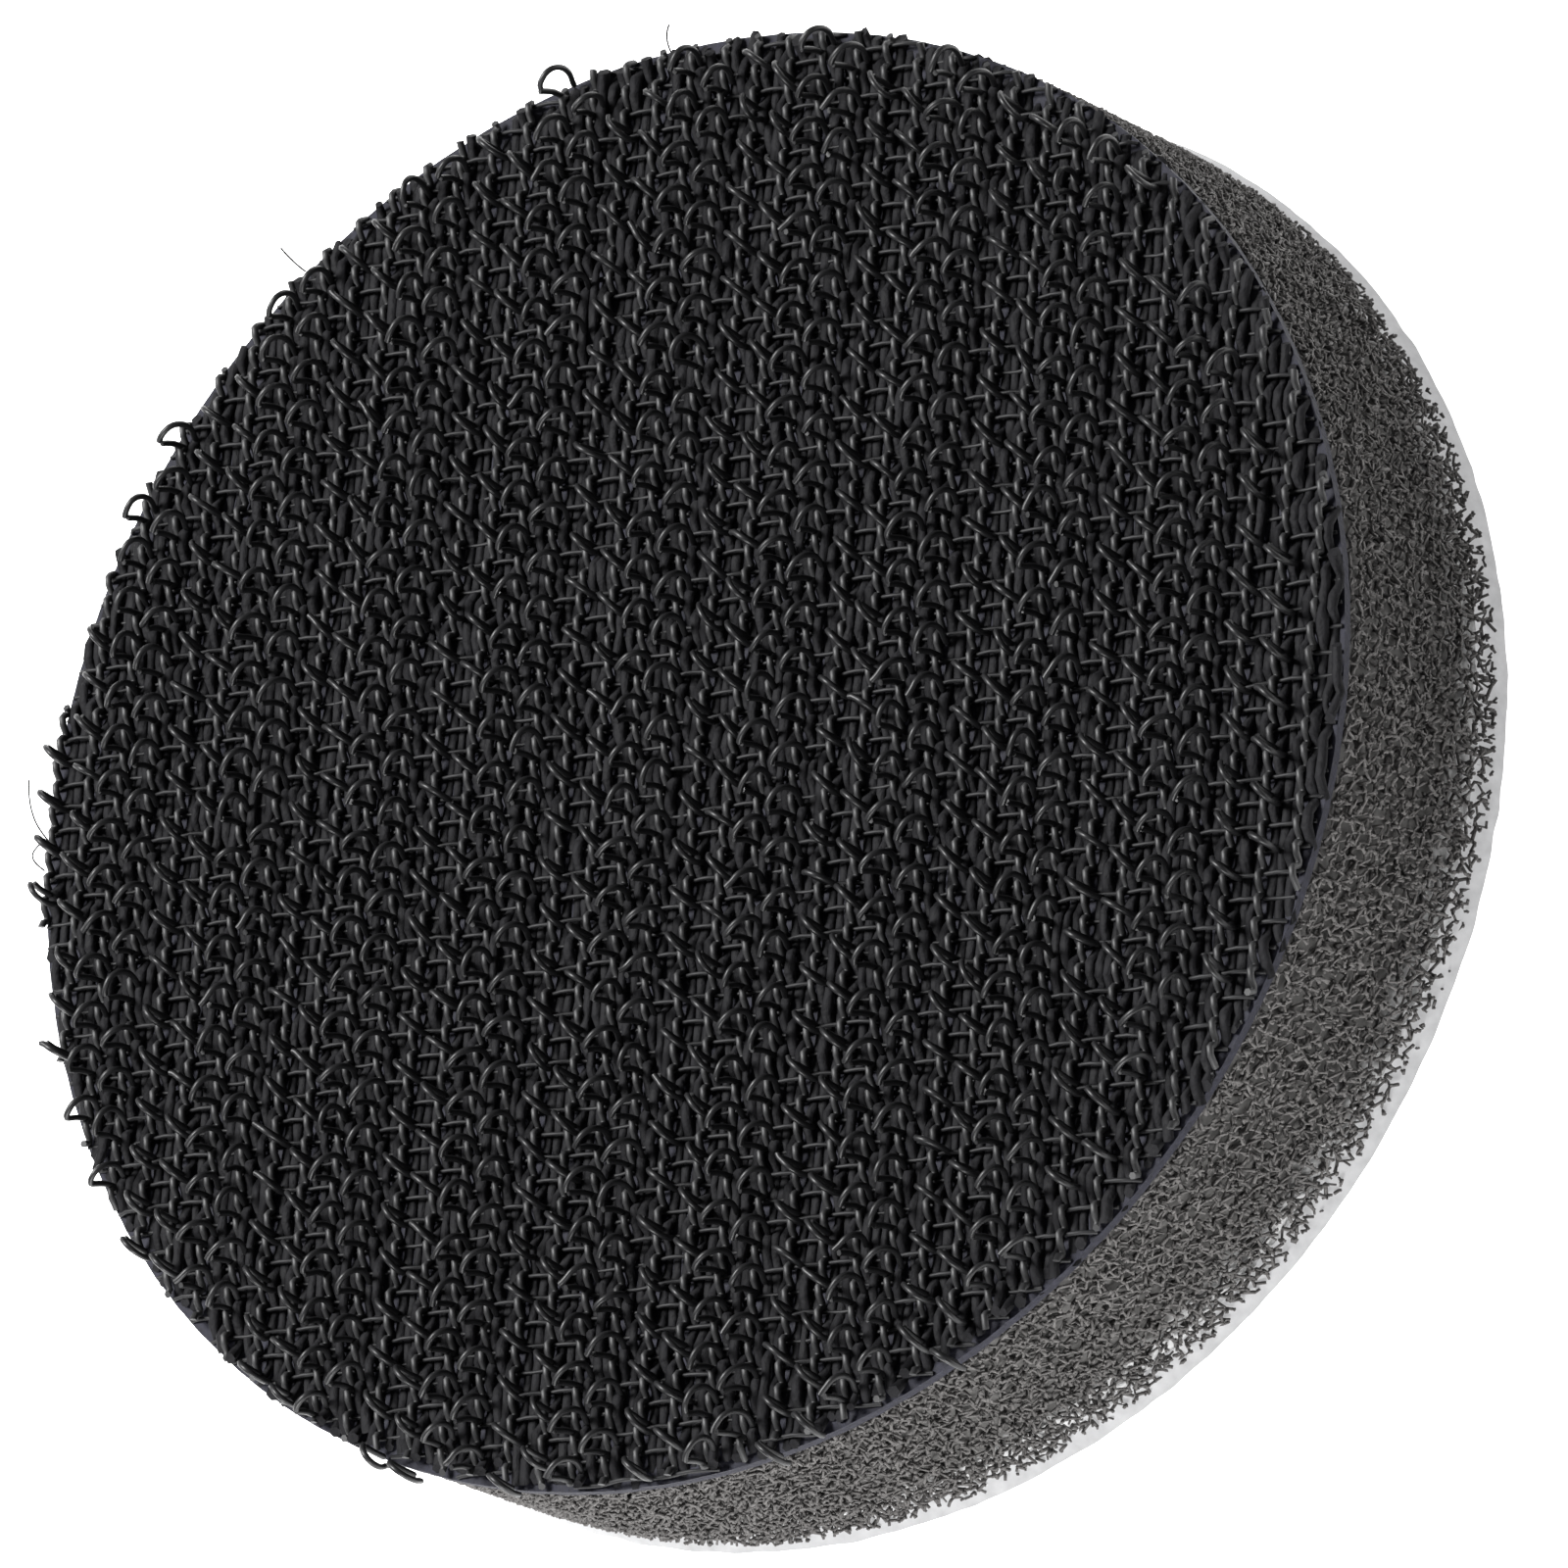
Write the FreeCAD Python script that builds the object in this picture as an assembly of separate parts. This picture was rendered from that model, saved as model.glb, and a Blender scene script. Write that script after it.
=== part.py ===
# Round detailing pad, 50 mm class: a foam disc with woven hook fabric on its upper face
# and brushed loop fabric on its lower face.
# Millimetres. +Z is up, out of the hook face. X runs along the weft, Y along the warp.
# The origin is the centre of the lower face.
import FreeCAD, Part
import math
import os

# Overall sizes.
pad_diameter = 50.0
foam_depth = 8.0

# Loop fabric under the foam, and the bond films on both of the foam's faces.
pile_depth = 0.7
knit_depth = 0.3
film_depth = 0.1

# Hook fabric on top of the foam.
coating_depth = 0.2
column_pitch = 1.28
row_pitch = 1.6
pick_depth = 0.22
end_depth = 0.22
yarn_clearance = 0.04

# Hook filaments.
filament_diameter = 0.2
bar_depth = 0.16
bar_side_margin = 0.02
hook_height = 1.5
tip_drop = 0.25
stub_height = 0.45
edge_margin = 0.1

# Worked out from the sizes above.
pad_radius = pad_diameter / 2
filament_radius = filament_diameter / 2
half_column = column_pitch / 2
half_row = row_pitch / 2
pick_width = half_row - filament_diameter - 2 * yarn_clearance
end_width = half_column - filament_diameter - 2 * yarn_clearance
bar_width = filament_diameter + 2 * bar_side_margin
knit_base = pile_depth
lower_film_base = knit_base + knit_depth
foam_base = lower_film_base + film_depth
upper_film_base = foam_base + foam_depth
coating_base = upper_film_base + film_depth
bar_base = coating_base + coating_depth
pick_base = bar_base + bar_depth
end_base = pick_base + pick_depth
ground_top = end_base + end_depth
hook_step = math.hypot(half_column, half_row)
bend_radius = hook_step / 2

vector = FreeCAD.Vector
up = vector(0, 0, 1)


def export(node, solids):
    """Write a node's solids as one STEP file."""
    Part.makeCompound(solids).exportStep("parts/" + node + ".step")


def disc(base, depth):
    """A full-width round layer of the pad."""
    return Part.makeCylinder(pad_radius, depth, vector(0, 0, base))


def steps_across(pitch, offset):
    """Places on a line through the centre, one pitch apart, that lie inside the pad."""
    reach = int(pad_radius / pitch) + 1
    places = [index * pitch + offset for index in range(-reach, reach + 1)]
    return [place for place in places if abs(place) < pad_radius]


def yarn(width, depth):
    """A straight yarn along X, centred on it: flat top and bottom, round sides."""
    side = (width - depth) / 2
    low_left = vector(-pad_radius, -side, 0)
    low_right = vector(-pad_radius, side, 0)
    high_left = vector(-pad_radius, -side, depth)
    high_right = vector(-pad_radius, side, depth)
    left_bulge = vector(-pad_radius, -width / 2, depth / 2)
    right_bulge = vector(-pad_radius, width / 2, depth / 2)
    outline = Part.Wire([
        Part.makeLine(low_left, low_right),
        Part.Arc(low_right, right_bulge, high_right).toShape(),
        Part.makeLine(high_right, high_left),
        Part.Arc(high_left, left_bulge, low_left).toShape(),
    ])
    return Part.Face(outline).extrude(vector(pad_diameter, 0, 0))


def trimmed_to_disc(shape, base, depth):
    """The part of a yarn that lies inside the die-cut outline."""
    return shape.common(disc(base, depth)).Solids


def weft_picks():
    """Weft yarns along X, each half way between two rows of hook feet."""
    master = yarn(pick_width, pick_depth)
    picks = []
    for place in steps_across(half_row, half_row / 2):
        pick = master.translated(vector(0, place, pick_base))
        picks += trimmed_to_disc(pick, pick_base, pick_depth)
    return picks


def warp_ends():
    """Warp yarns along Y on top of the picks, each between two columns of hook feet."""
    master = yarn(end_width, end_depth)
    master = master.rotated(vector(0, 0, 0), up, 90)
    ends = []
    for place in steps_across(half_column, half_column / 2):
        end = master.translated(vector(place, 0, end_base))
        ends += trimmed_to_disc(end, end_base, end_depth)
    return ends


def crook(side):
    """A leg at the origin that rises, bends over towards +Y and one side, and ends in a tip."""
    along = vector(side * half_column, half_row, 0).normalize()
    foot = vector(0, 0, bar_base + bar_depth)
    bend_level = ground_top + hook_height - filament_radius - bend_radius
    leg_top = vector(0, 0, bend_level)
    crown = along * bend_radius + vector(0, 0, bend_level + bend_radius)
    far_side = along * hook_step + vector(0, 0, bend_level)
    tip = far_side - vector(0, 0, tip_drop)
    path = Part.Wire([
        Part.makeLine(foot, leg_top),
        Part.Arc(leg_top, crown, far_side).toShape(),
        Part.makeLine(far_side, tip),
    ])
    section = Part.Wire(Part.makeCircle(filament_radius, foot, up))
    return path.makePipeShell([section], True, False)


def foot_bar(side):
    """The flattened run on the coating, under one pick, from the leg back to the stub."""
    length = hook_step + bar_width
    bar = Part.makeBox(length, bar_width, bar_depth, vector(-bar_width / 2, -bar_width / 2, bar_base))
    turn = math.degrees(math.atan2(-half_row, side * half_column))
    return bar.rotated(vector(0, 0, 0), up, turn)


def hook_piece(side):
    """One cut length of filament: stub, run under a pick, leg, bend and tip."""
    stub_foot = vector(side * half_column, -half_row, bar_base + bar_depth)
    stub_length = ground_top + stub_height - stub_foot.z
    stub = Part.makeCylinder(filament_radius, stub_length, stub_foot)
    return foot_bar(side).fuse([crook(side), stub]).Solids[0]


def inside_outline(foot_x, foot_y, side):
    """True where a whole hook piece stays clear of the die-cut edge."""
    reach = pad_radius - bar_width - edge_margin
    corners = [
        (foot_x, foot_y),
        (foot_x + side * half_column, foot_y - half_row),
        (foot_x + side * half_column, foot_y + half_row),
    ]
    return all(math.hypot(x, y) < reach for x, y in corners)


def hook_column_family(side, column_offset, row_offset):
    """Every hook of one of the four columns that repeat across the fabric."""
    master = hook_piece(side)
    hooks = []
    for foot_x in steps_across(4 * column_pitch, column_offset):
        for foot_y in steps_across(row_pitch, row_offset):
            if inside_outline(foot_x, foot_y, side):
                hooks.append(master.translated(vector(foot_x, foot_y, 0)))
    return hooks


os.makedirs("parts", exist_ok=True)

export("loop_pile", [disc(0, pile_depth)])
export("loop_knit_base", [disc(knit_base, knit_depth)])
export("lower_bond_film", [disc(lower_film_base, film_depth)])
export("foam_core", [disc(foam_base, foam_depth)])
export("upper_bond_film", [disc(upper_film_base, film_depth)])
export("hook_back_coating", [disc(coating_base, coating_depth)])
export("weft_picks", weft_picks())
export("warp_ends", warp_ends())

# Two columns bend to one side and the next two to the other. Their crowns are one column
# pitch apart, so the feet of the second pair stand half a pitch further out.
first_foot = -2 * column_pitch
export("hooks_right_first", hook_column_family(1, first_foot, 0))
export("hooks_right_second", hook_column_family(1, first_foot + column_pitch, half_row))
export("hooks_left_first", hook_column_family(-1, first_foot + 2.5 * column_pitch, 0))
export("hooks_left_second", hook_column_family(-1, first_foot + 3.5 * column_pitch, half_row))
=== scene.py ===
import math

import bpy
import numpy as np
from mathutils import Matrix, Vector, noise


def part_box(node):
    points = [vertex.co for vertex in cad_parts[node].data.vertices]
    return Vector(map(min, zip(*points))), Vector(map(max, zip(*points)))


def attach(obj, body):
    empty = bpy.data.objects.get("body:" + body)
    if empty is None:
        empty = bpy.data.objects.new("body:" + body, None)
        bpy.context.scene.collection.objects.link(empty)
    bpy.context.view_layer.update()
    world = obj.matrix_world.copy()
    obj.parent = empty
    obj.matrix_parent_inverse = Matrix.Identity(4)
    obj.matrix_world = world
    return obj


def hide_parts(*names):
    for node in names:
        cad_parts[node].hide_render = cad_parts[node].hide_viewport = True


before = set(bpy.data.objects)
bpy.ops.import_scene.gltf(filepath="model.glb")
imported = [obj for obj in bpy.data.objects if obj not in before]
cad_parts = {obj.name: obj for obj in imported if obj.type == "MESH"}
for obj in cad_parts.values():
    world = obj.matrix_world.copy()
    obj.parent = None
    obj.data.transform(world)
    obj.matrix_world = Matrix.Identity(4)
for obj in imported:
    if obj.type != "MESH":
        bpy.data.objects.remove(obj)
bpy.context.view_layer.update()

mm = 0.001
foamLow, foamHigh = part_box("foam_core")
knitLow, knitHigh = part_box("loop_knit_base")
lowerFilmLow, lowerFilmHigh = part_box("lower_bond_film")
upperFilmLow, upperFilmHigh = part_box("upper_bond_film")
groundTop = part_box("warp_ends")[1].z
padRadius = foamHigh.x
print("frame loaded, pad radius", round(padRadius / mm, 2), "mm")


def deselectAll():
    if bpy.context.object and bpy.context.object.mode != "OBJECT":
        bpy.ops.object.mode_set(mode="OBJECT")
    bpy.ops.object.select_all(action="DESELECT")


def makeActive(piece):
    deselectAll()
    piece.select_set(True)
    bpy.context.view_layer.objects.active = piece


def addObject(name, data):
    thing = bpy.data.objects.new(name, data)
    bpy.context.collection.objects.link(thing)
    return thing


def finishPiece(piece, name, material, replacedNodes=()):
    piece.name = name
    piece.data.name = name
    piece.data.materials.clear()
    piece.data.materials.append(material)
    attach(piece, "root")
    if replacedNodes:
        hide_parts(*replacedNodes)
    count = sum(len(face.vertices) - 2 for face in piece.data.polygons)
    print(name, "made,", count, "triangles")
    return piece


def pointsOf(piece):
    places = np.zeros(len(piece.data.vertices) * 3)
    piece.data.vertices.foreach_get("co", places)
    return places.reshape(-1, 3)


def movePoints(piece, places):
    piece.data.vertices.foreach_set("co", np.asarray(places).ravel())
    piece.data.update()


# Each filament is one smooth spline with a round section, turned into a mesh.
# A fourth number at a point makes the filament thicker or thinner there.
def drawFilaments(name, paths, radius, roundness=1, steps=2):
    curve = bpy.data.curves.new(name, "CURVE")
    curve.dimensions = "3D"
    curve.bevel_depth = radius
    curve.bevel_resolution = roundness
    curve.use_fill_caps = True
    for path in paths:
        spline = curve.splines.new("NURBS")
        spline.points.add(len(path) - 1)
        for point, place in zip(spline.points, path):
            point.co = (place[0], place[1], place[2], 1)
            point.radius = place[3] if len(place) > 3 else 1
        spline.order_u = 3
        spline.use_endpoint_u = True
        spline.resolution_u = steps
        spline.use_smooth = True
    makeActive(addObject(name, curve))
    bpy.ops.object.convert(target="MESH")
    return bpy.context.object


# A flat disc whose faces have rings of narrow faces near the edge, so the edge can be shaped.
def clothDisc(name, radius, low, high, ringWidth, ringCount, segments):
    deselectAll()
    bpy.ops.mesh.primitive_cylinder_add(
        vertices=segments, radius=radius, depth=high - low,
        location=(0, 0, (low + high) / 2), end_fill_type="NGON")
    disc = bpy.context.object
    disc.name = name
    bpy.ops.object.transform_apply(location=True, rotation=False, scale=False)
    bpy.ops.object.mode_set(mode="EDIT")
    bpy.ops.mesh.select_mode(type="FACE")
    bpy.ops.mesh.select_all(action="DESELECT")
    bpy.ops.object.mode_set(mode="OBJECT")
    for face in disc.data.polygons:
        face.select = abs(face.normal.z) > 0.5
    bpy.ops.object.mode_set(mode="EDIT")
    for ring in range(ringCount):
        bpy.ops.mesh.inset(thickness=ringWidth, use_individual=True)
    bpy.ops.mesh.poke()
    bpy.ops.object.mode_set(mode="OBJECT")
    return disc


view = {
    "azimuth": -28.729,  # degrees from +X, towards +Y
    "elevation": 52.928,
    "roll": -60.446,
    "toRight": 3.606 * mm,  # where it aims, seen from the middle of the weave
    "toTop": -1.125 * mm,
    "distance": 0.5261,
    "lens": 369.9,
    "sensor": 36,
}


def addCamera():
    turn = (Matrix.Rotation(math.radians(view["azimuth"] + 90), 3, "Z")
            @ Matrix.Rotation(math.radians(90 - view["elevation"]), 3, "X")
            @ Matrix.Rotation(math.radians(view["roll"]), 3, "Z"))
    right, up, back = turn.transposed()
    aim = Vector((0, 0, groundTop)) + right * view["toRight"] + up * view["toTop"]
    data = bpy.data.cameras.new("camera")
    data.lens = view["lens"]
    data.sensor_width = view["sensor"]
    data.clip_end = 20
    camera = addObject("camera", data)
    place = turn.to_4x4()
    place.translation = aim + back * view["distance"]
    camera.matrix_world = place
    bpy.context.scene.camera = camera


addCamera()
print("camera set")

# Where the die drags the foam, the loop face ends up a little to one side.
cut = {"driftX": 0.47 * mm, "driftY": 0.59 * mm}


def drift(places):
    places = np.array(places, float)
    share = 1 - places[:, 2] / groundTop
    places[:, 0] += cut["driftX"] * share
    places[:, 1] += cut["driftY"] * share
    return places


def newMaterial(name):
    material = bpy.data.materials.new(name)
    material.use_nodes = True
    return material, material.node_tree.nodes, material.node_tree.links


# Fine uneven tone, roughness and relief, for threads and foam alike.
def fibreGroup():
    group = bpy.data.node_groups.new("fibreTone", "ShaderNodeTree")
    face = group.interface
    inputs = (
        ("Dark", "NodeSocketColor", (0, 0, 0, 1)),
        ("Light", "NodeSocketColor", (1, 1, 1, 1)),
        ("Size", "NodeSocketFloat", 2000),
        ("Stretch", "NodeSocketVector", (1, 1, 1)),
        ("Rough Low", "NodeSocketFloat", 0.3),
        ("Rough High", "NodeSocketFloat", 0.5),
    )
    outputs = (("Color", "NodeSocketColor"), ("Roughness", "NodeSocketFloat"),
               ("Height", "NodeSocketFloat"))
    for name, kind, value in inputs:
        socket = face.new_socket(name=name, in_out="INPUT", socket_type=kind)
        socket.default_value = value
    for name, kind in outputs:
        face.new_socket(name=name, in_out="OUTPUT", socket_type=kind)
    nodes, links = group.nodes, group.links
    start = nodes.new("NodeGroupInput")
    end = nodes.new("NodeGroupOutput")
    place = nodes.new("ShaderNodeTexCoord")
    stretch = nodes.new("ShaderNodeVectorMath")
    stretch.operation = "MULTIPLY"
    links.new(place.outputs["Object"], stretch.inputs[0])
    links.new(start.outputs["Stretch"], stretch.inputs[1])
    grain = nodes.new("ShaderNodeTexNoise")
    grain.inputs["Detail"].default_value = 3
    links.new(stretch.outputs["Vector"], grain.inputs["Vector"])
    links.new(start.outputs["Size"], grain.inputs["Scale"])
    mix = nodes.new("ShaderNodeMix")
    mix.data_type = "RGBA"
    links.new(grain.outputs["Fac"], mix.inputs["Factor"])
    links.new(start.outputs["Dark"], mix.inputs["A"])
    links.new(start.outputs["Light"], mix.inputs["B"])
    links.new(mix.outputs["Result"], end.inputs["Color"])
    rough = nodes.new("ShaderNodeMapRange")
    links.new(grain.outputs["Fac"], rough.inputs["Value"])
    links.new(start.outputs["Rough Low"], rough.inputs["To Min"])
    links.new(start.outputs["Rough High"], rough.inputs["To Max"])
    links.new(rough.outputs["Result"], end.inputs["Roughness"])
    links.new(grain.outputs["Fac"], end.inputs["Height"])
    return group


fibreTone = fibreGroup()


# Size is the grain's noise scale, rough its lowest and highest roughness.
def threadMaterial(name, dark, light, size, rough, relief, specular=0.5, sheen=0.0,
                   stretch=(1, 1, 1), depth=0.02 * mm):
    material, nodes, links = newMaterial(name)
    surface = nodes["Principled BSDF"]
    surface.inputs["Specular IOR Level"].default_value = specular
    surface.inputs["Sheen Weight"].default_value = sheen
    tone = nodes.new("ShaderNodeGroup")
    tone.node_tree = fibreTone
    tone.inputs["Dark"].default_value = (*dark, 1)
    tone.inputs["Light"].default_value = (*light, 1)
    tone.inputs["Size"].default_value = size
    tone.inputs["Stretch"].default_value = stretch
    tone.inputs["Rough Low"].default_value = rough[0]
    tone.inputs["Rough High"].default_value = rough[1]
    bump = nodes.new("ShaderNodeBump")
    bump.inputs["Strength"].default_value = relief
    bump.inputs["Distance"].default_value = depth
    links.new(tone.outputs["Color"], surface.inputs["Base Color"])
    links.new(tone.outputs["Roughness"], surface.inputs["Roughness"])
    links.new(tone.outputs["Height"], bump.inputs["Height"])
    links.new(bump.outputs["Normal"], surface.inputs["Normal"])
    return material


hookNylon = threadMaterial(
    "hookNylon", dark=(0.007, 0.007, 0.0077), light=(0.013, 0.013, 0.014),
    size=1500, rough=(0.36, 0.5), relief=0.2, specular=0.36)
homeNylon = threadMaterial(
    "homeNylon", dark=(0.006, 0.006, 0.007), light=(0.020, 0.020, 0.021),
    size=1500, rough=(0.5, 0.65), relief=0.3, specular=0.6)
groundYarn = threadMaterial(
    "groundYarn", dark=(0.0006, 0.0006, 0.0009), light=(0.0120, 0.0117, 0.0138),
    size=3000, rough=(0.6, 0.85), relief=1.0, specular=0.16,
    stretch=(1, 0.7, 1), depth=0.10 * mm)
pickNylon = threadMaterial(
    "pickNylon", dark=(0.005, 0.005, 0.006), light=(0.010, 0.010, 0.011),
    size=1800, rough=(0.5, 0.65), relief=0.4, specular=0.3)
navyCoating = threadMaterial(
    "navyCoating", dark=(0.002, 0.002, 0.004), light=(0.028, 0.028, 0.042),
    size=5000, rough=(0.6, 0.8), relief=1.0, specular=0.2, depth=0.06 * mm)
foamGrey = threadMaterial(
    "foamGrey", dark=(0.078, 0.074, 0.072), light=(0.142, 0.136, 0.133),
    size=900, rough=(0.6, 0.8), relief=0.3, specular=0.3)
filmGrey = threadMaterial(
    "filmGrey", dark=(0.35, 0.35, 0.35), light=(0.5, 0.5, 0.5),
    size=1200, rough=(0.5, 0.7), relief=0.3)
paleKnit = threadMaterial(
    "paleKnit", dark=(0.19, 0.19, 0.193), light=(0.31, 0.31, 0.314),
    size=2200, rough=(0.75, 0.9), relief=0.6, specular=0.3, sheen=0.2)
paleLoop = threadMaterial(
    "paleLoop", dark=(0.34, 0.34, 0.345), light=(0.48, 0.48, 0.485),
    size=2500, rough=(0.6, 0.8), relief=0.3, specular=0.4, sheen=0.2)


# Painted glow: the thin white cloth's own colour is fed to its emission, standing in for light
# that passes through it from behind.
def paintLightThroughEmission(material, strength):
    surface = material.node_tree.nodes["Principled BSDF"]
    tone = surface.inputs["Base Color"].links[0].from_node
    material.node_tree.links.new(tone.outputs["Color"], surface.inputs["Emission Color"])
    surface.inputs["Emission Strength"].default_value = strength


# Painted glow on the knit and on the loop naps, for light coming through them.
paintLightThroughEmission(paleKnit, 1.45)
paintLightThroughEmission(paleLoop, 0.5)

# Painted light and shade on the foam's heart: pale low down, darker above.
heart = {
    "patchSize": 1400,
    "patchDepth": 3.0 * mm,  # how far the patches push the pale band up
    "paintedLightBelow": 1.9 * mm,  # above the foot of the foam
    "paintedShadeAbove": 3.1 * mm,
    "pale": (0.55, 0.55, 0.55, 1),
}


# Deep foam gets a darker tone as painted shade. It is pale in patches of painted light low
# down, where light comes through next to the loop fabric.
def heartMaterial():
    material = threadMaterial(
        "foamHeart", dark=(0.032, 0.031, 0.030), light=(0.14, 0.136, 0.132),
        size=2600, rough=(0.8, 0.9), relief=0.8, specular=0.2)
    nodes, links = material.node_tree.nodes, material.node_tree.links
    surface = nodes["Principled BSDF"]
    tone = surface.inputs["Base Color"].links[0].from_node
    place = nodes.new("ShaderNodeTexCoord")
    split = nodes.new("ShaderNodeSeparateXYZ")
    links.new(place.outputs["Object"], split.inputs["Vector"])
    patches = nodes.new("ShaderNodeTexNoise")
    patches.inputs["Scale"].default_value = heart["patchSize"]
    links.new(place.outputs["Object"], patches.inputs["Vector"])
    uneven = nodes.new("ShaderNodeMath")
    uneven.operation = "MULTIPLY_ADD"
    uneven.inputs[1].default_value = heart["patchDepth"]
    links.new(patches.outputs["Fac"], uneven.inputs[0])
    links.new(split.outputs["Z"], uneven.inputs[2])
    # Painted light near the foot of the foam fades into painted shade higher up.
    paintedLightMask = nodes.new("ShaderNodeMapRange")
    paintedLightMask.inputs["From Min"].default_value = foamLow.z + heart["paintedLightBelow"]
    paintedLightMask.inputs["From Max"].default_value = foamLow.z + heart["paintedShadeAbove"]
    paintedLightMask.inputs["To Min"].default_value = 1
    paintedLightMask.inputs["To Max"].default_value = 0
    links.new(uneven.outputs["Value"], paintedLightMask.inputs["Value"])
    mix = nodes.new("ShaderNodeMix")
    mix.data_type = "RGBA"
    mix.inputs["B"].default_value = heart["pale"]
    links.new(paintedLightMask.outputs["Result"], mix.inputs["Factor"])
    links.new(tone.outputs["Color"], mix.inputs["A"])
    links.new(mix.outputs["Result"], surface.inputs["Base Color"])
    return material


foamHeart = heartMaterial()
print("materials made")

hookFabric = {
    "columnPitch": 1.2754 * mm,
    "rowPitch": 1.6128 * mm,
    "shiftX": 0.957 * mm,
    "shiftY": -0.361 * mm,
    "weftSkew": 0.0492,  # the rows climb a little across the fabric
    "warpLean": -0.0235,
    "wander": 0.10 * mm,
    "wanderX": 0.35,  # waves for each millimetre
    "wanderY": 0.12,
    "wanderSeed": 3.3,
    "wanderApart": (9.1, 4.7, 0),  # from the sideways waves to the waves along the warp
    "pickShift": -0.15 * mm,  # from a row of hooks to the pick it stands on
    "columnsOut": 21,  # to each side of the middle, and past the rim
    "picksOut": 34,
    "groupSize": 4,  # columns of hooks before the pattern repeats
    "groupsOut": 6,
}
pitch = hookFabric["columnPitch"]
halfRow = hookFabric["rowPitch"] / 2
groupSize = hookFabric["groupSize"]
columnsOut = hookFabric["columnsOut"]
picksOut = hookFabric["picksOut"]


# Moves a point of the even lattice to where the uneven fabric has it.
def fabricPoint(x, y):
    x, y = (x + hookFabric["shiftX"] + hookFabric["warpLean"] * y,
            y + hookFabric["shiftY"] + hookFabric["weftSkew"] * x)
    place = Vector((x / mm * hookFabric["wanderX"], y / mm * hookFabric["wanderY"],
                    hookFabric["wanderSeed"]))
    sway = noise.noise(place)
    rise = noise.noise(place + Vector(hookFabric["wanderApart"]))
    return x + sway * hookFabric["wander"], y + rise * hookFabric["wander"]


def insideFabric(x, y, margin):
    return math.hypot(x, y) < padRadius - margin


# Shorter ends at the rim aren't held by the weave, and have fallen out.
def longEnough(path):
    return len(path) > 4


hook = {
    "filamentRadius": 0.107 * mm,
    "rightTurn": (0.625, 0.78),  # the way a loop's second foot lies from its first
    "leftTurn": (0.72, -0.69),
    "leftShift": (0.20, -0.78),  # millimetres
    "leftSize": 0.86,
    "sway": 0.055,  # how far a loop leans by chance for each millimetre up
    "twist": 0.14,
    "sizeSpread": 0.06,
    "sizeLimit": 1.8,
    "uncut": 0.09,
    "tipShake": 0.03,  # millimetres
    "tipShakeUp": 0.6,
    "opened": 0.12,
    "openedBy": 0.25,  # millimetres
    "crownReach": 0.45,  # millimetres from the foot to under the top of the loop
    "crownClear": 0.1 * mm,  # both clearances are from the rim
    "footClear": 0.2 * mm,
    "edgeBare": 1.7 * mm,  # one side of the cut has no whole loops along its edge
    "edgeBareSlope": 0.9,
}

# Along the turn and up from the ground, in millimetres, from the foot in the home column.
# Every loop leans the same way across the rows, and is cut on that side, below its top.
stub = ((0, -0.25), (-0.03, 0.30), (-0.12, 0.62), (-0.24, 0.90))
crook = ((-0.25, 1.03), (-0.14, 1.14), (0.06, 1.22), (0.30, 1.26), (0.52, 1.16), (0.68, 0.92),
         (0.73, 0.58), (0.66, 0.25), (0.52, 0), (0.45, -0.20))


def placeOnHook(point, foot, turn, lean, size):
    across, up = point
    spot = foot + (turn * across + lean * max(0, up)) * size * mm
    spot.z += up * mm * (size if up > 0 else 1)
    return spot


# A loop is whole, or cut into a stub and a crook whose cut ends have sprung apart.
def hookLines(foot, turn, lean, size, draws, chance):
    if chance[0] < hook["uncut"]:
        return [[placeOnHook(point, foot, turn, lean, size) for point in stub + crook]]
    stubLine, crookLine = ([placeOnHook(point, foot, turn, lean, size) for point in line]
                           for line in (stub, crook))
    shake = Vector((draws[4], draws[5], hook["tipShakeUp"] * draws[6])) * hook["tipShake"] * mm
    opening = hook["openedBy"] * chance[2] if chance[1] < hook["opened"] else 0
    stubLine[-1] += shake
    crookLine[0] -= shake
    crookLine[0].z += opening * mm
    crookLine[1].z += 0.5 * opening * mm  # the next point follows half way
    return [stubLine, crookLine]


def hookFamily(name, firstX, firstY, turnsLeft, seed):
    dice = np.random.default_rng(seed)
    shift = Vector(hook["leftShift"] if turnsLeft else (0, 0)).to_3d() * mm
    groupsOut = hookFabric["groupsOut"]
    paths = []
    for group in range(-groupsOut, groupsOut + 1):
        for row in range(-picksOut // 2, picksOut // 2 + 1):
            x, y = fabricPoint(firstX + group * groupSize * pitch,
                               firstY + row * hookFabric["rowPitch"])
            draws = dice.normal(size=12)
            chance = dice.random(4)
            limit = hook["sizeLimit"]
            size = 1 + hook["sizeSpread"] * max(-limit, min(limit, draws[0]))
            size *= hook["leftSize"] if turnsLeft else 1
            turn = Vector(hook["leftTurn"] if turnsLeft else hook["rightTurn"]).to_3d()
            turn.rotate(Matrix.Rotation(hook["twist"] * draws[1], 3, "Z"))
            atBareEdge = x > abs(y) * hook["edgeBareSlope"]
            margin = hook["edgeBare"] if atBareEdge else hook["footClear"]
            crown = Vector((x, y, 0)) + turn * hook["crownReach"] * mm
            crownInside = insideFabric(crown.x, crown.y, hook["crownClear"])
            if not (insideFabric(x, y, margin) and crownInside):
                continue
            lean = Vector((hook["sway"] * draws[2], hook["sway"] * draws[3], 0))
            foot = Vector((x, y, groundTop)) + shift
            paths += hookLines(foot, turn, lean, size, draws, chance)
    piece = drawFilaments(name, paths, hook["filamentRadius"])
    return finishPiece(piece, name + "_filaments", hookNylon, (name,))


hookPieces = [
    hookFamily("hooks_right_first", -2 * pitch, 0, False, 11),
    hookFamily("hooks_right_second", -pitch, halfRow, False, 12),
    hookFamily("hooks_left_first", 0, halfRow, True, 13),
    hookFamily("hooks_left_second", pitch, 0, True, 14),
]

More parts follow.
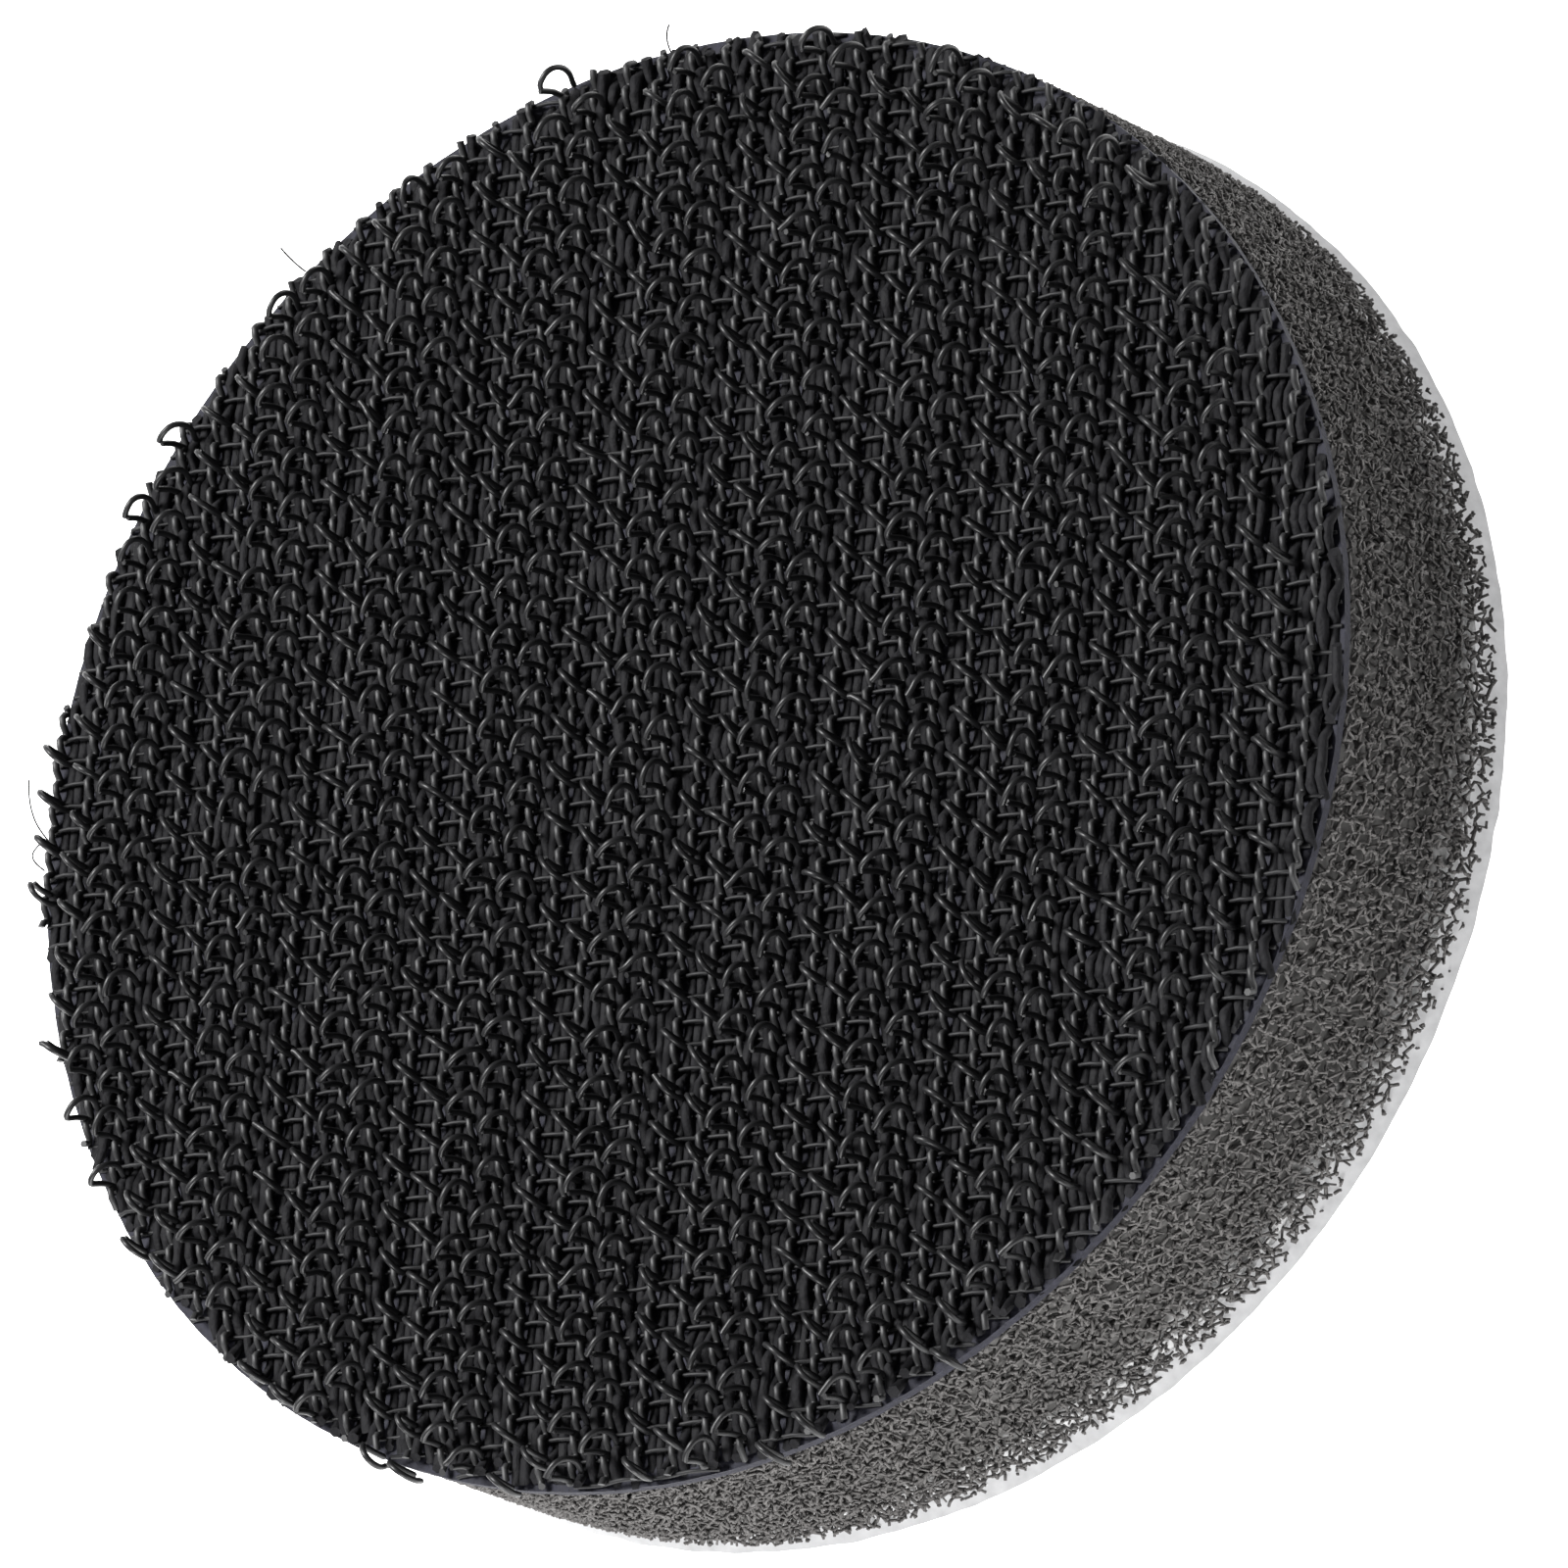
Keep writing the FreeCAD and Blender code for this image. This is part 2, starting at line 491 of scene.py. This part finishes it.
homes = {
    "radius": 0.128 * mm,
    "overPick": ((-0.56, -0.40), (-0.42, -0.12), (-0.12, 0.05), (0.04, 0.05), (0.10, -0.16)),
    "wobbleSide": 0.03 * mm,
    "wobbleUp": 0.02 * mm,
    "rimClear": 0.06 * mm,
}


# The bare filaments that hold the hooks' feet down rise over every pick.
def homeFilaments():
    dice = np.random.default_rng(21)
    paths = []
    for column in range(-columnsOut, columnsOut + 1):
        path = []
        for pick in range(-picksOut, picksOut + 1):
            x, y = fabricPoint(column * pitch, pick * halfRow + hookFabric["pickShift"])
            side = homes["wobbleSide"] * dice.normal()
            lift = homes["wobbleUp"] * dice.normal()
            for along, up in homes["overPick"]:
                spot = (x + side, y + along * mm, groundTop + up * mm + lift)
                if insideFabric(spot[0], spot[1], homes["rimClear"]):
                    path.append(spot)
        if longEnough(path):
            paths.append(path)
    piece = drawFilaments("warp_home_filaments", paths, homes["radius"], steps=1)
    return finishPiece(piece, "warp_home_filaments", homeNylon, ("warp_ends",))


picks = {
    "radius": 0.075 * mm,
    "hidden": 0.35,  # the share of raised stretches that stay down by chance
    "down": -0.40,  # heights are in millimetres over the top of the weave
    "atColumn": -0.26,
    "wobble": 0.02,
    "rimClear": 0.1 * mm,
}

# How high the picks stand in the gaps after columns 0, 1, 2 and 3, for even and odd picks.
pickRise = {
    0: (0.0, -0.06, -0.40, 0.0),
    1: (-0.04, -0.40, -0.40, -0.36),
}


def pickHeights():
    dice = np.random.default_rng(24)
    heights = {}
    for pick in range(-picksOut, picksOut + 1):
        for column in range(-columnsOut - 1, columnsOut + 1):
            stays = dice.random() < picks["hidden"]
            raised = pickRise[pick % 2][column % groupSize]
            heights[pick, column] = picks["down"] if stays else raised
    return heights


def weftPicks():
    dice = np.random.default_rng(22)
    heights = pickHeights()
    wobble, clear = picks["wobble"], picks["rimClear"]
    paths = []
    for pick in range(1 - picksOut, picksOut):
        path = []
        for step in range(-2 * columnsOut, 2 * columnsOut + 1):
            x, y = fabricPoint(step * pitch / 2, pick * halfRow + hookFabric["pickShift"])
            up = heights[pick, step // 2] if step % 2 else picks["atColumn"]
            y += wobble * mm * dice.normal()
            z = groundTop + (up + wobble * dice.normal()) * mm
            if insideFabric(x, y, clear):
                path.append((x, y, z))
            elif path or insideFabric(x + pitch / 2, y, clear):
                rim = math.sqrt(max(0, (padRadius - clear) ** 2 - y ** 2))
                path.append((math.copysign(rim, x), y, groundTop + picks["down"] * mm))
                if x > 0:
                    break
        if longEnough(path):
            paths.append(path)
    piece = drawFilaments("weft_pick_filaments", paths, picks["radius"])
    return finishPiece(piece, "weft_pick_filaments", pickNylon, ("weft_picks",))


yarns = {
    "radius": 0.20 * mm,
    "flat": 0.7,  # height over width
    "spacing": 0.35 * mm,
    "over": -0.02,  # heights are in millimetres over the top of the weave
    "under": -0.60,
    "raisedPick": -0.2,  # a pick above this lies over the yarns
    "strayCross": 0.15,
    "wobbleAlong": 0.1 * mm,
    "wobble": 0.03,
    "swell": 0.16,
    "leftClear": 0.14 * mm,
    "rightClear": 0.04 * mm,
}


def groundYarns():
    dice = np.random.default_rng(23)
    heights = pickHeights()
    paths = []
    middle = (yarns["over"] + yarns["under"]) / 2
    for column in range(-columnsOut, columnsOut + 1):
        for side in (-1, 0, 1):
            path = []
            for half in range(-2 * picksOut, 2 * picksOut + 1):
                x, y = fabricPoint((column + 0.5) * pitch,
                                   half * halfRow / 2 + hookFabric["pickShift"])
                y += yarns["wobbleAlong"] * dice.normal()
                x += side * yarns["spacing"]
                up = middle
                if half % 2 == 0:
                    pick = half // 2
                    raised = heights[pick, column] > yarns["raisedPick"]
                    blocked = (pick + side + column) % 2 == 0
                    under = raised or blocked != (dice.random() < yarns["strayCross"])
                    up = yarns["under"] if under else yarns["over"]
                up += yarns["wobble"] * dice.normal()
                rise = middle + (up - middle) / yarns["flat"]
                margin = yarns["leftClear" if x < 0 else "rightClear"]
                x += yarns["wobble"] * mm * dice.normal()
                swell = 1 + yarns["swell"] * dice.normal()
                if insideFabric(x, y, margin):
                    path.append((x, y, groundTop + rise * mm, swell))
            if longEnough(path):
                paths.append(path)
    piece = drawFilaments("warp_ground_yarns", paths, yarns["radius"], steps=1)
    places = pointsOf(piece)
    centre = groundTop + middle * mm
    places[:, 2] = centre + (places[:, 2] - centre) * yarns["flat"]
    movePoints(piece, places)
    return finishPiece(piece, "warp_ground_yarns", groundYarn)


# A few fine fibres that the die left standing at the rim, in millimetres.
strays = {
    "radius": 0.032 * mm,
    "lines": (
        ((-24.70, -1.30, -0.1), (-25.00, -0.90, 0.2), (-25.30, -0.30, 0.3),
         (-25.48, 0.40, 0.35), (-25.40, 0.75, 0.5)),
        ((-24.75, -2.30, -0.1), (-25.12, -2.05, 0.1), (-25.20, -1.65, 0.15),
         (-24.90, -1.30, 0.0)),
        ((-16.90, 18.20, -0.1), (-17.30, 18.50, 0.2), (-17.60, 18.90, 0.5)),
        ((-3.10, 24.60, -0.1), (-3.20, 25.00, 0.3), (-2.90, 25.35, 0.5)),
    ),
}


def strayFibres():
    paths = [[(x * mm, y * mm, groundTop + z * mm) for x, y, z in line]
             for line in strays["lines"]]
    piece = drawFilaments("stray_fibres", paths, strays["radius"], steps=5)
    return finishPiece(piece, "stray_fibres", pickNylon)


homePiece = homeFilaments()
pickPiece = weftPicks()
yarnPiece = groundYarns()
strayPiece = strayFibres()

backing = {
    "sunk": 0.45 * mm,  # from the top of the weave down to the coating
    "ringWidth": 0.5 * mm,
    "rings": 12,
    "segments": 420,
    "edgeFrom": 0.985,
    "raggedness": 40,
    "ragged": 0.03 * mm,
    "trimmed": 0.02 * mm,
}


def hookBacking():
    disc = clothDisc("hook_fabric_backing", padRadius, upperFilmHigh.z,
                     groundTop - backing["sunk"], backing["ringWidth"], backing["rings"],
                     backing["segments"])
    places = pointsOf(disc)
    for spot, (x, y, z) in enumerate(places):
        away = math.hypot(x, y)
        if away > padRadius * backing["edgeFrom"]:
            out = Vector((x, y, 0)) / away * backing["raggedness"]
            ragged = noise.noise(Vector((out.x, out.y, z / mm))) * backing["ragged"]
            places[spot][:2] *= 1 + (ragged - backing["trimmed"]) / away
    movePoints(disc, places)
    bpy.ops.object.shade_smooth_by_angle(angle=math.radians(40))
    return finishPiece(disc, "hook_fabric_backing", navyCoating,
                       ("hook_back_coating",))


backingPiece = hookBacking()

loopCloth = {
    "radius": 25.07 * mm,
    "ringWidth": 0.12 * mm,
    "rings": 8,
    "segments": 560,
    "edgeWidth": 0.7 * mm,
    "ragged": 0.06 * mm,
    "raggedness": 1.3,
    "ripple": 0.15 * mm,
    "slope": 0.70 * mm,  # the cut edge leans in under the foam
    "drop": 0.25 * mm,
    "roll": 0.40 * mm,  # how far its edge rolls down over the naps
}


# How far out the cloth's leaning edge reaches at a height. The struts end on it.
def clothEdge(height):
    share = np.clip(height / knitHigh.z, 0, 1)
    return np.where(height < knitHigh.z, loopCloth["radius"] - loopCloth["slope"] * share, 0)


foam = {
    "cell": 0.60 * mm,
    "jitter": 0.09 * mm,
    "strut": 0.052 * mm,
    "strutSpread": 0.18,
    "missing": 0.05,
    "stump": 0.15,  # the least that the cut leaves of a strut
    "startBelow": 0.1 * mm,
    "intoCloth": 0.08 * mm,  # how far a strut's end may sink into the loop cloth
    "membrane": 0.06,  # the share of cell windows that a skin closes
    "skin": 0.006 * mm,
    "skinInset": 0.18 * mm,
    "skinClear": 0.1 * mm,
    "shellDepth": 0.42 * mm,
    "heartOverlap": 0.05 * mm,
    "sideTrim": 0.05 * mm,
    "rimInset": 0.05 * mm,
    "rimHeight": 1.1 * mm,
    "overhang": 0.85 * mm,  # how far the struts reach down over the loop fabric
    "ringWidth": 0.9 * mm,
    "rings": 3,
    "segments": 560,
    "wallCuts": 36,
    "pitSize": 2.6,  # pits for each millimetre of the heart
    "pitReach": 0.45,
    "pitDepth": 0.30 * mm,
}


def foamRadius(height):
    share = np.clip((height - foamLow.z) / foam["rimHeight"], 0, 1)
    return padRadius - foam["sideTrim"] - foam["rimInset"] * (1 - share) ** 2


# Packed fourteen-sided cells: their corner points, in quarters of a cell, a table that finds
# a corner by its place, and the cells' own origins, all near the pad's side.
def foamLattice():
    cell = foam["cell"]
    across = int(padRadius / cell) + 2
    tall = int((foamHigh.z - foamLow.z) / cell) + 2
    steps = np.arange(-across, across + 1)
    rises = np.arange(-1, tall + 1)
    base = np.stack(np.meshgrid(steps, steps, rises, indexing="ij"), -1).reshape(-1, 3) * 4
    away = np.hypot(base[:, 0] + 2, base[:, 1] + 2) * cell / 4
    nearSide = (away > padRadius - foam["shellDepth"] - 1.5 * cell) & (away < padRadius + cell)
    base = base[nearSide]
    corners = [(0, 1, 2), (0, 3, 2), (2, 1, 0), (2, 3, 0), (1, 0, 2), (3, 0, 2),
               (1, 2, 0), (3, 2, 0), (0, 2, 1), (0, 2, 3), (2, 0, 1), (2, 0, 3)]
    keys = np.unique((base[:, None, :] + np.array(corners)[None]).reshape(-1, 3), axis=0)
    lowest = keys.min(0) - 4
    lookup = np.full(keys.max(0) - lowest + 9, -1)
    lookup[tuple((keys - lowest).T)] = np.arange(len(keys))
    return keys, lookup, lowest, base


def findCorners(lookup, lowest, wanted):
    wanted = wanted - lowest
    good = np.all((wanted >= 0) & (wanted < lookup.shape), axis=-1)
    found = np.full(wanted.shape[:-1], -1)
    found[good] = lookup[tuple(wanted[good].T)]
    return found


def distanceOut(places):
    return np.hypot(places[:, 0], places[:, 1])


def foamNetwork():
    dice = np.random.default_rng(31)
    keys, lookup, lowest, base = foamLattice()
    places = keys * (foam["cell"] / 4)
    places[:, 2] += foamLow.z - foam["startBelow"]
    places = places + dice.normal(size=places.shape) * foam["jitter"]
    pairs = []
    for step in ((1, 1, 0), (1, -1, 0), (1, 0, 1), (1, 0, -1), (0, 1, 1), (0, 1, -1)):
        other = findCorners(lookup, lowest, keys + np.array(step))
        here = np.nonzero(other >= 0)[0]
        pairs.append(np.stack((here, other[here]), 1))
    pairs = np.concatenate(pairs)
    pairs = pairs[dice.random(len(pairs)) > foam["missing"]]
    a, b = places[pairs[:, 0]], places[pairs[:, 1]]
    insideA = distanceOut(a) < foamRadius(a[:, 2])
    insideB = distanceOut(b) < foamRadius(b[:, 2])
    swap = ~insideA & insideB  # each strut starts inside
    a[swap], b[swap] = b[swap].copy(), a[swap].copy()
    outA, outB = distanceOut(a), distanceOut(b)
    clothA, clothB = clothEdge(a[:, 2]), clothEdge(b[:, 2])
    sink = foam["intoCloth"]
    lowestEnd = foamLow.z - foam["overhang"]
    keep = (insideA | insideB) & (outA > padRadius - foam["shellDepth"])
    keep &= (outA > clothA - sink) & (outB > clothB - sink) & (outA + outB > clothA + clothB)
    keep &= (a[:, 2] < foamHigh.z) & (b[:, 2] < foamHigh.z)
    keep &= (a[:, 2] > lowestEnd) & (b[:, 2] > lowestEnd)
    a, b, outA, outB = a[keep], b[keep], outA[keep], outB[keep]
    limit = foamRadius(b[:, 2])
    reach = np.clip((limit - outA) / np.maximum(outB - outA, 1e-9), foam["stump"], 1)
    share = np.where(outB > limit, reach, 1)
    b = a + (b - a) * share[:, None]
    spread = foam["strutSpread"] * dice.normal(size=len(a)).clip(-1.5, 1.5)
    struts = prisms(a, b, foam["strut"] * (1 + spread), dice)
    return struts, membranes(places, lookup, lowest, base, dice)


# A four-sided strut for each pair of corners.
def prisms(a, b, thick, dice):
    along = b - a
    length = np.linalg.norm(along, axis=1, keepdims=True)
    along = along / np.maximum(length, 1e-9)
    level = np.abs(along[:, 2:3]) < 0.8
    helper = np.where(level, np.array([[0, 0, 1.0]]), np.array([[1.0, 0, 0]]))
    side = np.cross(along, helper)
    side /= np.linalg.norm(side, axis=1, keepdims=True)
    other = np.cross(along, side)
    start = dice.random(len(a)) * math.pi
    reach = thick[:, None]
    overlap = along * reach * 0.5
    rings = []
    for middle in (a - overlap, b + overlap):
        for corner in range(4):
            turn = start + corner * math.pi / 2
            off = np.cos(turn)[:, None] * side + np.sin(turn)[:, None] * other
            rings.append(middle + reach * off)
    places = np.stack(rings, 1).reshape(-1, 3)
    faces = [(corner, (corner + 1) % 4, 4 + (corner + 1) % 4, 4 + corner)
             for corner in range(4)]
    faces += [(3, 2, 1, 0), (4, 5, 6, 7)]
    return places, repeatFaces(faces, len(a))


# The same six faces for each block of eight points.
def repeatFaces(faces, count):
    return (np.arange(count)[:, None, None] * 8 + np.array(faces)[None]).reshape(-1, 4)


# Thin skins that close some of the square windows between cells.
def membranes(places, lookup, lowest, base, dice):
    centres = np.concatenate((base, base + 2))
    squares = []
    for axis in range(3):
        one, two = [spot for spot in range(3) if spot != axis]
        corners = []
        for step, where in ((1, one), (1, two), (-1, one), (-1, two)):
            corner = np.zeros(3, int)
            corner[axis] = 2
            corner[where] = step
            corners.append(findCorners(lookup, lowest, centres + corner))
        found = np.stack(corners, 1)
        squares.append(found[np.all(found >= 0, axis=1)])
    squares = np.concatenate(squares)
    squares = squares[dice.random(len(squares)) < foam["membrane"]]
    spots = places[squares]
    middle = spots.mean(1)
    out, height = distanceOut(middle), middle[:, 2]
    clear = foam["skinClear"]
    keep = out < foamRadius(height) - foam["skinInset"]
    keep &= out > padRadius - foam["shellDepth"]
    keep &= (height > foamLow.z + clear) & (height < foamHigh.z - clear)
    spots = spots[keep]
    cross = np.cross(spots[:, 2] - spots[:, 0], spots[:, 3] - spots[:, 1])
    cross /= np.maximum(np.linalg.norm(cross, axis=1, keepdims=True), 1e-12)
    lift = cross[:, None, :] * foam["skin"]
    both = np.concatenate((spots + lift, spots - lift), 1).reshape(-1, 3)
    faces = [(0, 1, 2, 3), (7, 6, 5, 4)]
    faces += [(c, c + 4, (c + 1) % 4 + 4, (c + 1) % 4) for c in range(4)]
    return both, repeatFaces(faces, len(spots))


# The heart is a disc just inside the struts, pitted along its wall.
def foamHeartDisc():
    inside = padRadius - foam["shellDepth"]
    disc = clothDisc("foam_heart", inside + foam["heartOverlap"], foamLow.z, foamHigh.z,
                     foam["ringWidth"], foam["rings"], foam["segments"])
    bpy.ops.object.mode_set(mode="EDIT")
    bpy.ops.mesh.select_all(action="DESELECT")
    bpy.ops.object.mode_set(mode="OBJECT")
    for edge in disc.data.edges:
        one, two = (disc.data.vertices[spot].co for spot in edge.vertices)
        edge.select = abs(one.z - two.z) > 1 * mm  # the wall's upright edges
    bpy.ops.object.mode_set(mode="EDIT")
    bpy.ops.mesh.select_mode(type="EDGE")
    bpy.ops.mesh.subdivide(number_cuts=foam["wallCuts"])
    bpy.ops.object.mode_set(mode="OBJECT")
    places = pointsOf(disc)
    for spot, (x, y, z) in enumerate(places):
        away = math.hypot(x, y)
        if away > inside - 0.1 * mm:
            nearest = noise.voronoi(Vector((x, y, z)) / mm * foam["pitSize"])[0][0]
            dent = max(0, foam["pitReach"] - nearest) / foam["pitReach"] * foam["pitDepth"]
            places[spot][:2] *= 1 - dent / away
    movePoints(disc, places)
    return disc


def addFoam():
    disc = foamHeartDisc()
    parts = [(pointsOf(disc), [tuple(face.vertices) for face in disc.data.polygons])]
    parts += [(places, quads.tolist()) for places, quads in foamNetwork()]
    heartFaces = len(disc.data.polygons)
    bpy.data.objects.remove(disc)
    faces, shift = [], 0
    for places, partFaces in parts:
        faces += [tuple(corner + shift for corner in face) for face in partFaces]
        shift += len(places)
    mesh = bpy.data.meshes.new("foam_core_cells")
    mesh.from_pydata(drift(np.concatenate([part[0] for part in parts])).tolist(), [], faces)
    mesh.update()
    piece = addObject("foam_core_cells", mesh)
    makeActive(piece)
    bpy.ops.object.shade_smooth()
    finishPiece(piece, "foam_core_cells", foamGrey, ("foam_core",))
    mesh.materials.append(foamHeart)
    inHeart = np.zeros(len(mesh.polygons), int)
    inHeart[:heartFaces] = 1
    mesh.polygons.foreach_set("material_index", inHeart)
    return piece


foamPiece = addFoam()

film = {
    "ringWidth": 1.2 * mm,
    "rings": 4,
    "segments": 360,
    "upperInset": 0.25 * mm,
    "lowerInset": 1.2 * mm,
}


def addFilm(name, low, high, node, inset):
    disc = clothDisc(name, padRadius - inset, low.z, high.z, film["ringWidth"], film["rings"],
                     film["segments"])
    movePoints(disc, drift(pointsOf(disc)))
    bpy.ops.object.shade_smooth_by_angle(angle=math.radians(40))
    return finishPiece(disc, name, filmGrey, (node,))


upperFilm = addFilm("upper_film_skin", upperFilmLow, upperFilmHigh, "upper_bond_film",
                    film["upperInset"])
lowerFilm = addFilm("lower_film_skin", lowerFilmLow, lowerFilmHigh, "lower_bond_film",
                    film["lowerInset"])


def addKnit():
    disc = clothDisc("loop_knit_cloth", loopCloth["radius"], knitLow.z - loopCloth["drop"],
                     knitHigh.z, loopCloth["ringWidth"], loopCloth["rings"],
                     loopCloth["segments"])
    places = pointsOf(disc)
    middle = (places[:, 2].min() + places[:, 2].max()) / 2
    for spot, (x, y, z) in enumerate(places):
        away = math.hypot(x, y)
        near = 1 - (loopCloth["radius"] - away) / loopCloth["edgeWidth"]
        if near > 0:
            place = Vector((x, y, z)) / mm
            ragged = noise.noise(place * loopCloth["raggedness"]) * loopCloth["ragged"]
            if z > middle:
                ragged -= loopCloth["slope"] * near ** 2
                place.z = 5
                places[spot][2] += noise.noise(place) * loopCloth["ripple"]
            else:
                places[spot][2] -= loopCloth["roll"] * near ** 2
            places[spot][:2] *= 1 + ragged / away
    movePoints(disc, drift(places))
    bpy.ops.object.shade_smooth_by_angle(angle=math.radians(60))
    return finishPiece(disc, "loop_knit_cloth", paleKnit, ("loop_knit_base",))


naps = {
    "count": 3250,
    "goldenTurn": 2.399963,  # radians from one nap to the next
    "height": 0.62 * mm,
    "heightSpread": 0.12,
    "width": 0.38 * mm,
    "widthSpread": 0.2,
    "lean": 0.12 * mm,
    "scatter": 0.05 * mm,
    "rimClear": 0.42 * mm,
    "root": 0.1 * mm,  # both ends go this far into the knit
    "filament": 0.035 * mm,
}


def addNaps():
    dice = np.random.default_rng(41)
    paths = []
    for nap in range(naps["count"]):
        away = (loopCloth["radius"] - naps["rimClear"]) * math.sqrt((nap + 0.5) / naps["count"])
        turn = nap * naps["goldenTurn"]
        draws = dice.normal(size=6)
        x = away * math.cos(turn) + naps["scatter"] * draws[0]
        y = away * math.sin(turn) + naps["scatter"] * draws[1]
        heading = dice.random() * 2 * math.pi
        width = naps["width"] * (1 + naps["widthSpread"] * draws[2])
        deep = naps["height"] * (1 - naps["heightSpread"] * abs(draws[3]))
        lean = naps["lean"] * draws[4]
        dx, dy = math.cos(heading) * width, math.sin(heading) * width
        top, root = knitLow.z, knitLow.z + naps["root"]
        path = [(x - 0.3 * dx, y - 0.3 * dy, root),
                (x - 0.6 * dx + lean * 0.5, y - 0.6 * dy, top - deep * 0.6),
                (x + lean, y + lean * 0.3, top - deep * 1.25),
                (x + 0.6 * dx + lean * 0.5, y + 0.6 * dy, top - deep * 0.6),
                (x + 0.25 * dx, y + 0.25 * dy, root)]
        paths.append([tuple(spot) for spot in drift(path)])
    piece = drawFilaments("loop_pile_naps", paths, naps["filament"], roundness=0)
    places = pointsOf(piece)
    places[:, 2] = np.maximum(places[:, 2], 0.0)  # the naps lie flat where they touch down
    movePoints(piece, places)
    return finishPiece(piece, "loop_pile_naps", paleLoop, ("loop_pile",))


knitPiece = addKnit()
loopPiece = addNaps()

studio = {
    "keyFrom": (-0.52, 0.16, 0.84),
    "keyPower": 12,
    "fillFrom": (0.05, -0.98, 0.14),
    "fillPower": 7,
    "lightDistance": 0.7,
    "lightSize": 0.28,
    "around": 0.19,  # light from all round
    "floorTone": 0.95,
    "floorGlow": 0.55,
}


def addLight(name, source, power):
    data = bpy.data.lights.new(name, "AREA")
    data.energy = power
    data.size = studio["lightSize"]
    light = addObject(name, data)
    direction = Vector(source).normalized()
    light.location = direction * studio["lightDistance"]
    light.rotation_euler = (-direction).to_track_quat("-Z", "Y").to_euler()


# Full white where it is seen straight on, and dimmer as a source of light.
def whiteWhenSeen(nodes, links, lit, strength):
    seen = nodes.new("ShaderNodeMapRange")
    seen.inputs["To Min"].default_value = lit
    seen.inputs["To Max"].default_value = 1.0
    path = nodes.new("ShaderNodeLightPath")
    links.new(path.outputs["Is Camera Ray"], seen.inputs["Value"])
    links.new(seen.outputs["Result"], strength)


def addFloor():
    deselectAll()
    bpy.ops.mesh.primitive_plane_add(size=3, location=(0, 0, 0))
    floor = bpy.context.object
    floor.name = "studio_floor"
    material, nodes, links = newMaterial("studioFloor")
    surface = nodes["Principled BSDF"]
    tone = studio["floorTone"]
    surface.inputs["Base Color"].default_value = (tone, tone, tone, 1)
    surface.inputs["Roughness"].default_value = 0.9
    surface.inputs["Emission Color"].default_value = (1, 1, 1, 1)
    whiteWhenSeen(nodes, links, studio["floorGlow"], surface.inputs["Emission Strength"])
    floor.data.materials.append(material)


def addWorld():
    world = bpy.data.worlds.new("studio_world")
    bpy.context.scene.world = world
    world.use_nodes = True
    back = world.node_tree.nodes["Background"]
    back.inputs["Color"].default_value = (1, 1, 1, 1)
    whiteWhenSeen(world.node_tree.nodes, world.node_tree.links, studio["around"],
                  back.inputs["Strength"])


addFloor()
addLight("key_light", studio["keyFrom"], studio["keyPower"])
addLight("fill_light", studio["fillFrom"], studio["fillPower"])
addWorld()
bpy.context.scene.view_settings.view_transform = "Standard"
print("studio set")
